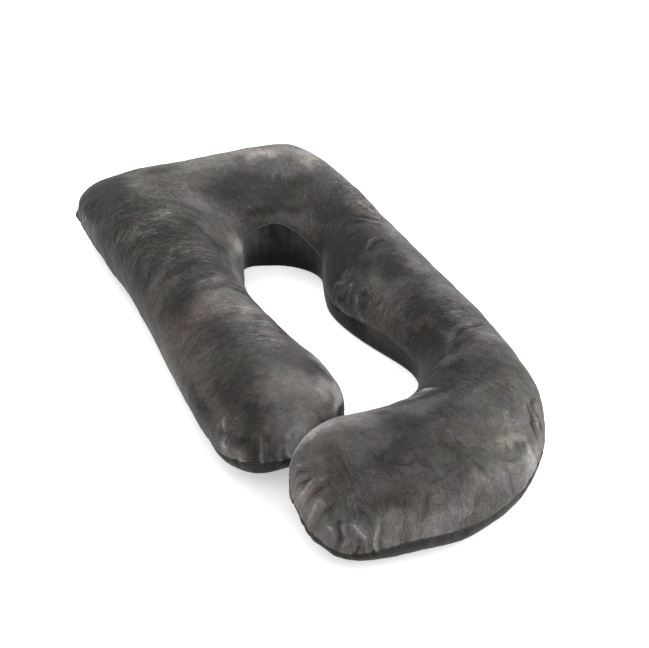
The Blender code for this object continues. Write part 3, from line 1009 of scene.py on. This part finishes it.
def spread(tree, value, low, high, at_low=0.0, at_high=1.0, **settings):
    """The value spread from low to high over 0 to 1, or over the two ends that are given, and held there."""
    return add(tree, "MapRange", enumerate((value, low, high, at_low, at_high)), **settings).outputs[0]


def weighted_sum(tree, start, *terms):
    """The start, plus each term times its weight."""
    total = start
    for value, weight in terms:
        total = compute(tree, "MULTIPLY_ADD", value, weight, total)
    return total


def cloudy_sum(tree, start, *terms):
    """The start, plus each term less a half, times its weight."""
    return weighted_sum(tree, start, *((centred(tree, value), weight) for value, weight in terms))


def line_at(tree, value, middle, width):
    """A thin line, 1 where the value is at the middle and 0 where it is the width or more away from it."""
    away = compute(tree, "ABSOLUTE", compute(tree, "SUBTRACT", value, middle))
    return spread(tree, away, 0.0, width, 1.0, 0.0, interpolation_type="SMOOTHSTEP")


def tinted(tree, colour, amount, strength, tint):
    """The colour multiplied by a tint as far as the amount goes, from 0 to 1."""
    share = compute(tree, "MULTIPLY", amount, strength, use_clamp=True)
    mix = add(tree, "Mix", {0: share, 6: colour, 7: (*tint, 1.0)}, data_type="RGBA", blend_type="MULTIPLY")
    return mix.outputs[2]


def colour_steps(tree, value, steps):
    """The value turned to a colour through the given steps, each a place from 0 to 1 and a linear colour."""
    ramp = add(tree, "ValToRGB", {0: value})
    elements = ramp.color_ramp.elements
    while len(elements) < len(steps):
        elements.new(0.5)
    for element, (position, colour) in zip(elements, steps):
        element.position = position
        element.color = (*colour, 1.0)
    return ramp.outputs[0]


def raise_pile(tree, shader, height, strength, distance):
    """The pile's height as bumps of the surface, in metres at full height."""
    bump = add(tree, "Bump", {"Strength": strength, "Distance": distance, "Height": height})
    tree.links.new(bump.outputs[0], shader.inputs["Normal"])


def new_material(name, looks):
    """A new material with the given looks: the material, its node tree and its shader."""
    material = bpy.data.materials.new(name)
    material.use_nodes = True
    shader = material.node_tree.nodes["Principled BSDF"]
    for look, value in looks.items():
        shader.inputs[look].default_value = value
    return material, material.node_tree, shader


def velvet_material(name, sheen, roughness):
    """An empty velvet: a rough shader with the sheen of upright pile, and the coordinates that it needs."""
    material, tree, shader = new_material(name, {
        "Roughness": roughness,
        "Specular IOR Level": 0.15,
        "Sheen Weight": sheen,
        "Sheen Roughness": 0.45,
        "Sheen Tint": (0.90, 0.87, 0.84, 1.0),
    })
    coordinates = add(tree, "TexCoord")
    return material, tree, shader, coordinates.outputs["Object"], coordinates.outputs["UV"]


def crisp_edges():
    """For each half of the creases, how far aside the nearest one is, and how strong its painted line is.

    strength = +-share of a full depth x fade x exp(-(aside / CRISP_REACH)^2), the sign that of the depth
    """
    marks = {}
    for half, creases in (("first", CREASES[::2]), ("second", CREASES[1::2])):
        nearest, strongest = np.ones(rise.shape), np.zeros(rise.shape)
        for crease in creases:
            aside, fade = beside_crease(crease)
            strength = fade * np.exp(-(aside / CRISP_REACH) ** 2) * min(1, abs(crease[DEPTH]) / CRISP_DEPTH)
            stronger = strength > np.abs(strongest)
            nearest = np.where(stronger, aside, nearest)
            strongest = np.where(stronger, np.sign(crease[DEPTH]) * strength, strongest)
        marks |= {f"{half}_aside": nearest, f"{half}_strength": strongest}
    return marks


def painted_crease_lines(tree, where):
    """A thin line of painted shade in each crease, a painted highlight beside it, unevenly broken; a ridge
    the other way.
    """
    edges = 0.0
    torn = clouds(tree, where, 140.0, 2.0, 0.6)
    for half in ("first", "second"):
        aside = cloudy_sum(tree, mark(tree, f"{half}_aside"), (torn, CRISP_TEAR))
        trough = line_at(tree, aside, 0.0, CRISP_WIDTH)
        ridge = line_at(tree, aside, LIGHT_LINE_AWAY * CRISP_WIDTH, CRISP_WIDTH)
        ridge = times(tree, ridge, LIGHT_LINE_SHARE)
        pair = compute(tree, "SUBTRACT", ridge, trough)
        edges = compute(tree, "MULTIPLY_ADD", pair, mark(tree, f"{half}_strength"), edges)
    return times(tree, edges, spread(tree, clouds(tree, where, 90.0, 3.0, 0.6), 0.40, 0.60))


def crushed_velvet():
    """Mottled pile and painted light and shade: patches broken up by clouds and cross strokes, from near
    black to silver.
    """
    material, tree, shader, where, cloth = velvet_material("crushed_velvet", 0.11, 0.75)
    lined = times(tree, mark(tree, "lined"), mark(tree, "off_tips"))

    broad = clouds(tree, where, 12.0, 5.0, 0.60, 0.4)
    middling = clouds(tree, where, 56.0, 6.0, 0.72, 0.7)
    grain = clouds(tree, where, 300.0, 3.0, 0.7)
    strokes = stretched_clouds(tree, cloth, (105.0, 22.0, 1.0), 4.0, 0.65, 0.8)
    hairs = stretched_clouds(tree, cloth, (330.0, 75.0, 1.0), 3.0, 0.65, 0.6)
    grained, stroked, haired = (times(tree, centred(tree, value), lined) for value in (grain, strokes, hairs))

    arcs = line_at(tree, stretched_clouds(tree, cloth, (60.0, 5.0, 1.0), 3.0, 0.5, 0.4), 0.5, 0.060)
    arcs = times(tree, arcs, spread(tree, clouds(tree, where, 11.0, 3.0), 0.44, 0.56))
    arcs = times(tree, arcs, lined)
    squiggles = line_at(tree, clouds(tree, where, 16.0, 8.0, 0.5, 1.1), 0.5, 0.055)
    squiggles = times(tree, squiggles, spread(tree, middling, 0.42, 0.60))
    squiggles = times(tree, squiggles, mark(tree, "crushed"))
    edges = painted_crease_lines(tree, where)

    value = times(tree, mark(tree, "light"), 0.80)
    value = cloudy_sum(tree, value, (broad, 0.18), (middling, 0.45), (grain, 0.22))
    value = weighted_sum(tree, value, (grained, 1.10), (stroked, 0.75), (haired, 1.12))
    value = weighted_sum(tree, value, (arcs, 0.24), (squiggles, -0.34), (edges, 0.30))
    value = compute(tree, "MULTIPLY_ADD", value, 0.84, 0.350, use_clamp=True)
    colour = colour_steps(tree, value, (
        (0.0, (0.007, 0.007, 0.007)),
        (0.2, (0.0241, 0.0222, 0.0208)),
        (0.4, (0.0520, 0.0482, 0.0463)),
        (0.6, (0.0965, 0.0922, 0.0906)),
        (0.8, (0.183, 0.179, 0.179)),
        (1.0, (0.322, 0.314, 0.310)),
    ))
    warmth = cloudy_sum(tree, mark(tree, "warm"), (clouds(tree, where, 13.0, 4.0, 0.6), 2.2))
    mossy = cloudy_sum(tree, mark(tree, "moss"), (clouds(tree, where, 9.0, 3.0, 0.5, 0.5), 1.4))
    rosy = cloudy_sum(tree, 0.0, (clouds(tree, where, 17.0, 4.0, 0.6, 0.5), 4.2))
    for amount, sign, tint in (
        (warmth, 1.0, (1.16, 0.97, 0.86)),
        (warmth, -1.0, (0.98, 0.94, 1.07)),
        (mossy, 1.0, (0.99, 1.02, 0.82)),
        (rosy, 1.0, (1.06, 0.94, 1.00)),
        (rosy, -1.0, (0.96, 1.04, 0.95)),
    ):
        colour = tinted(tree, colour, amount, sign, tint)
    tree.links.new(colour, shader.inputs["Base Color"])
    tree.links.new(spread(tree, value, 0.0, 0.8, 0.86, 0.62), shader.inputs["Roughness"])

    height = cloudy_sum(tree, 0.0, (clouds(tree, where, 75.0, 4.0, 0.6, 1.2), 0.6), (grain, 0.50))
    height = weighted_sum(tree, height, (stroked, 0.5), (haired, 0.6))
    height = weighted_sum(tree, height, (squiggles, -0.40), (arcs, 0.35), (edges, 0.45))
    raise_pile(tree, shader, height, 0.5, 0.0016)
    return material


over = np.arange(fine.over + 1)
upper_panel = skin("upper_panel", cover_shape, over)
# the patches, with painted shade in the dents and a painted highlight on the ridges
light = soft_ovals(shape, PATCHES)[..., 0] - DENT_SHADE * cover_dents
warm, moss = np.moveaxis(soft_ovals(shape, TINTS), -1, 0)
crushed, lined = np.moveaxis(soft_ovals(shape, CRUSHED), -1, 0)
to_tip = np.minimum(place, place[-1] - place)
upper_marks = {
    "light": eased(eased(light, FULL_LIGHT, LIGHT_EASE), FULL_DARK, DARK_EASE),
    "warm": warm,
    "moss": moss,
    "crushed": np.clip(crushed, 0, 1),
    "lined": np.clip(LINED + lined, 0, 1),
    "off_tips": np.broadcast_to(np.clip(to_tip / STROKES_FADE, 0, 1)[:, None], rise.shape),
}
for name, values in (upper_marks | crisp_edges()).items():
    keep_on_points(upper_panel, name, on_points(values, over))
lay_flat(upper_panel, cover_shape, over)
upper_panel.data.materials.append(crushed_velvet())
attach(upper_panel, "root")
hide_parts("pillow")


# --- Lower panel --------------------------------------------------------------------------------------------
# The lower panel is the same velvet in one dark grey, brushed evenly, and painted darker towards the floor as
# shade. It turns in under the pillow, stands as a steep wall round the head hole and the belly space, and
# lies flat on the floor.


def brushed_velvet():
    """Even dark pile, a little cloudy, with faint upright strokes on its walls, and painted shade by the
    floor.
    """
    material, tree, shader, where, _ = velvet_material("brushed_velvet", 0.10, 0.80)
    broad = clouds(tree, where, 7.0, 4.0, 0.55, 0.4)
    strokes = stretched_clouds(tree, where, (55.0, 55.0, 7.0), 4.0, 0.6, 0.5)
    pile = clouds(tree, where, 900.0, 2.0)
    value = cloudy_sum(tree, mark(tree, "light"), (broad, 1.3), (strokes, 1.4), (pile, 0.4))
    value = compute(tree, "ADD", value, 0.5, use_clamp=True)
    colour = colour_steps(tree, value, (
        (0.10, (0.007, 0.007, 0.006)),
        (0.50, (0.020, 0.019, 0.017)),
        (0.90, (0.046, 0.044, 0.039)),
    ))
    # painted shade: the colour darkens towards the floor
    above_floor = add(tree, "SeparateXYZ", {0: where}).outputs[2]
    painted_floor_shade = spread(tree, above_floor, 0.020, 0.085, 1.0, 0.0, interpolation_type="SMOOTHSTEP")
    tree.links.new(tinted(tree, colour, painted_floor_shade, 1.0, (0.10, 0.10, 0.09)), shader.inputs["Base Color"])
    tree.links.new(spread(tree, value, 0.0, 1.0, 0.88, 0.70), shader.inputs["Roughness"])
    crumples = clouds(tree, where, 40.0, 4.0, 0.55, 0.8)
    height = cloudy_sum(tree, 0.0, (strokes, 0.6), (crumples, 0.5), (pile, 0.25))
    raise_pile(tree, shader, height, 0.5, 0.002)
    return material


WALL_PATCHES = np.array([
    # x, y, long, wide, turn in degrees, light
    ( -10,  330,  35, 50,   0,   0.8),  # left of the wall's join in the head hole
    (  90,  300,  60, 30, -30, -0.15),
    ( 105,   15,  60, 30,  90, -1.05),
    ( 150, -125,  70, 35, 100,  1.05),
    (-200, -680, 100, 40, -20,  -0.1),
    ( 100, -690, 120, 40,   0,  0.25),
]) * ([MM] * 4 + [1] * 2)

under = np.append(np.arange(fine.over, len(fine.turn)), 0)
lower_panel = skin("lower_panel", cover_shape, under)
keep_on_points(lower_panel, "light", on_points(soft_ovals(shape, WALL_PATCHES)[..., 0], under))
lower_panel.data.materials.append(brushed_velvet())
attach(lower_panel, "root")
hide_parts("pillow")


# --- Seam ---------------------------------------------------------------------------------------------------
# The two panels are stitched together from the inside, so all that shows is a slim rolled edge of velvet that
# stands a little proud between them, dimpled by its stitches. It is painted light, as the highlight along it.

SEAM_RADIUS = 0.0016
STITCH_LENGTH = 0.0035
ROUND_SEAM = 8


def seam_roll():
    """A slim tube round the seam, made of rings that each start the way the seam faces."""
    run, proud = along_seam(cover_shape), along_seam(facing)
    ahead = np.roll(run, -1, axis=0) - np.roll(run, 1, axis=0)
    ahead /= np.linalg.norm(ahead, axis=1, keepdims=True)
    beside = np.cross(ahead, proud)
    beside /= np.linalg.norm(beside, axis=1, keepdims=True)
    proud = np.cross(beside, ahead)
    turn = np.linspace(0, 2 * np.pi, ROUND_SEAM, endpoint=False)
    ring = np.cos(turn)[:, None] * proud[:, None] + np.sin(turn)[:, None] * beside[:, None]
    points = (run[:, None] + SEAM_RADIUS * ring).reshape(-1, 3)
    index = np.arange(len(points)).reshape(-1, ROUND_SEAM)
    after, beyond = np.roll(index, -1, axis=0), np.roll(index, -1, axis=1)
    quads = np.stack([index, after, np.roll(after, -1, axis=1), beyond], axis=-1).reshape(-1, 4)
    piece = smooth_piece("seam", points, quads.tolist())
    step = np.linalg.norm(np.diff(run, axis=0, append=run[:1]), axis=1)
    travelled = np.cumsum(step) - step
    keep_on_points(piece, "travelled", np.repeat(travelled, ROUND_SEAM))
    # the inner side of the seam, which is painted lighter as a highlight
    keep_on_points(piece, "inner", (np.arange(len(points)) >= len(cover_shape) * ROUND_SEAM).astype(float))
    return piece


def rolled_velvet():
    """Velvet painted light as the seam's highlight, lighter still on the inner side, with a dimple at every
    stitch.
    """
    material, tree, shader, where, _ = velvet_material("rolled_velvet", 0.20, 0.75)
    stitches = compute(tree, "SINE", times(tree, mark(tree, "travelled"), 2 * np.pi / STITCH_LENGTH))
    cloud = clouds(tree, where, 25.0, 4.0, 0.6, 0.5)
    # painted highlight: the inner side of the seam is painted lighter
    value = cloudy_sum(tree, 0.22, (cloud, 2.2), (mark(tree, "inner"), 0.80))
    value = weighted_sum(tree, value, (stitches, 0.06))
    colour = colour_steps(tree, value, (
        (0.10, (0.022, 0.021, 0.020)),
        (0.50, (0.050, 0.048, 0.045)),
        (0.90, (0.100, 0.095, 0.090)),
    ))
    tree.links.new(colour, shader.inputs["Base Color"])
    raise_pile(tree, shader, stitches, 0.6, 0.0008)
    return material


seam = seam_roll()
seam.data.materials.append(rolled_velvet())
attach(seam, "root")


# --- The room -----------------------------------------------------------------------------------------------
# The pillow lies on a pale floor that is lit from within like a light table, in an even, bright room. A broad
# softbox stands behind it, and another in front of its right side.

FLOOR_SIZE = 12.0


def pale_floor():
    """Matt white paint with a barely visible cloudiness."""
    material, tree, shader = new_material("pale_floor", {
        "Roughness": 0.9,
        "Specular IOR Level": 0.1,
        "Emission Color": (1, 1, 1, 1),
        "Emission Strength": 0.38,
    })
    cloud = clouds(tree, add(tree, "TexCoord").outputs["Object"], 1.5, 2.0)
    colour = colour_steps(tree, cloud, ((0.3, (0.90, 0.90, 0.90)), (0.7, (0.92, 0.92, 0.92))))
    tree.links.new(colour, shader.inputs["Base Color"])
    return material


half = FLOOR_SIZE / 2
floor_mesh = bpy.data.meshes.new("floor")
floor_corners = [(-half, -half, 0), (half, -half, 0), (half, half, 0), (-half, half, 0)]
floor_mesh.from_pydata(floor_corners, [], [(0, 1, 2, 3)])
floor = in_scene("floor", floor_mesh)
floor.data.materials.append(pale_floor())

world = bpy.data.worlds.new("studio")
world.use_nodes = True
sky = world.node_tree.nodes["Background"]
sky.inputs["Color"].default_value = (1, 1, 1, 1)
sky.inputs["Strength"].default_value = 1.15
bpy.context.scene.world = world

for name, size, energy, place_in_room in (
    ("far_softbox", 2.2, 60, (-0.2, 2.2, 2.0)),
    ("near_softbox", 2.5, 50, (1.4, -2.2, 1.6)),
):
    softbox = in_scene(name, bpy.data.lights.new(name, "AREA"))
    softbox.data.size = size
    softbox.data.energy = energy
    softbox.location = place_in_room
    softbox.rotation_euler = (-softbox.location).to_track_quat("-Z", "Y").to_euler()

bpy.context.scene.view_settings.view_transform = "Standard"

IMAGE_WIDTH = 649
FOCAL_PIXELS = 1329.5
SENSOR_WIDTH = 36.0
AIM = Vector((0.026, -0.0353, 0.080))
CAMERA_DISTANCE, CAMERA_AZIMUTH, CAMERA_ELEVATION = 2.983, np.radians(-25.93), np.radians(37.62)
back = Vector((
    np.sin(CAMERA_AZIMUTH) * np.cos(CAMERA_ELEVATION),
    -np.cos(CAMERA_AZIMUTH) * np.cos(CAMERA_ELEVATION),
    np.sin(CAMERA_ELEVATION),
))
camera = in_scene("camera", bpy.data.cameras.new("camera"))
camera.data.lens = FOCAL_PIXELS * SENSOR_WIDTH / IMAGE_WIDTH
camera.data.sensor_width = SENSOR_WIDTH
camera.location = AIM + back * CAMERA_DISTANCE
camera.rotation_mode = "QUATERNION"
camera.rotation_quaternion = (-back).to_track_quat("-Z", "Y")
bpy.context.scene.camera = camera
